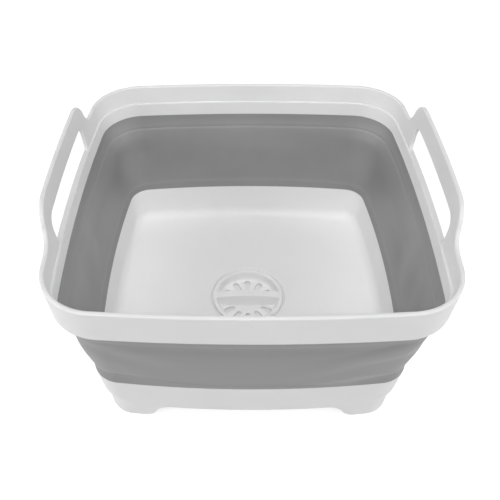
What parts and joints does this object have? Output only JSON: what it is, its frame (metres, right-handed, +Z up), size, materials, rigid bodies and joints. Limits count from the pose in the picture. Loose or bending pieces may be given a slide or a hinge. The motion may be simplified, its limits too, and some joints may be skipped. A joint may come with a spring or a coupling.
{
  "type": "collapsible washing-up bowl",
  "caption": "Square washing-up bowl that presses flat: rigid rim with raised slotted handles, folding rubber wall, footed base tray and a lift-out strainer plug over a drain outlet.",
  "frame": {"origin": "on the table, under the middle of the bowl", "axes": "+Z up out of the bowl's mouth, +X across the two handles, the front towards -Y"},
  "size_m": [0.304, 0.2908, 0.195],
  "materials": {
    "white_plastic": "satin moulded polypropylene",
    "grey_wall_rubber": "soft matte thermoplastic rubber",
    "seal_rubber": "smooth white silicone rubber"
  },
  "bodies": {
    "base": {"base_tray": "white_plastic", "folding_wall": "grey_wall_rubber"},
    "rim": {"rim_frame": "white_plastic"},
    "plug": {"drain_plug": "white_plastic", "plug_seal": "seal_rubber"}
  },
  "joints": [
    {"name": "collapse", "type": "slide", "parent": "base", "child": "rim", "axis": [0, 0, -1], "range_m": [0, 0.1165], "deforming": ["folding_wall"]},
    {"name": "plug_lift", "type": "slide", "parent": "base", "child": "plug", "axis": [0, 0, 1], "range_m": [0, 0.2]}
  ]
}
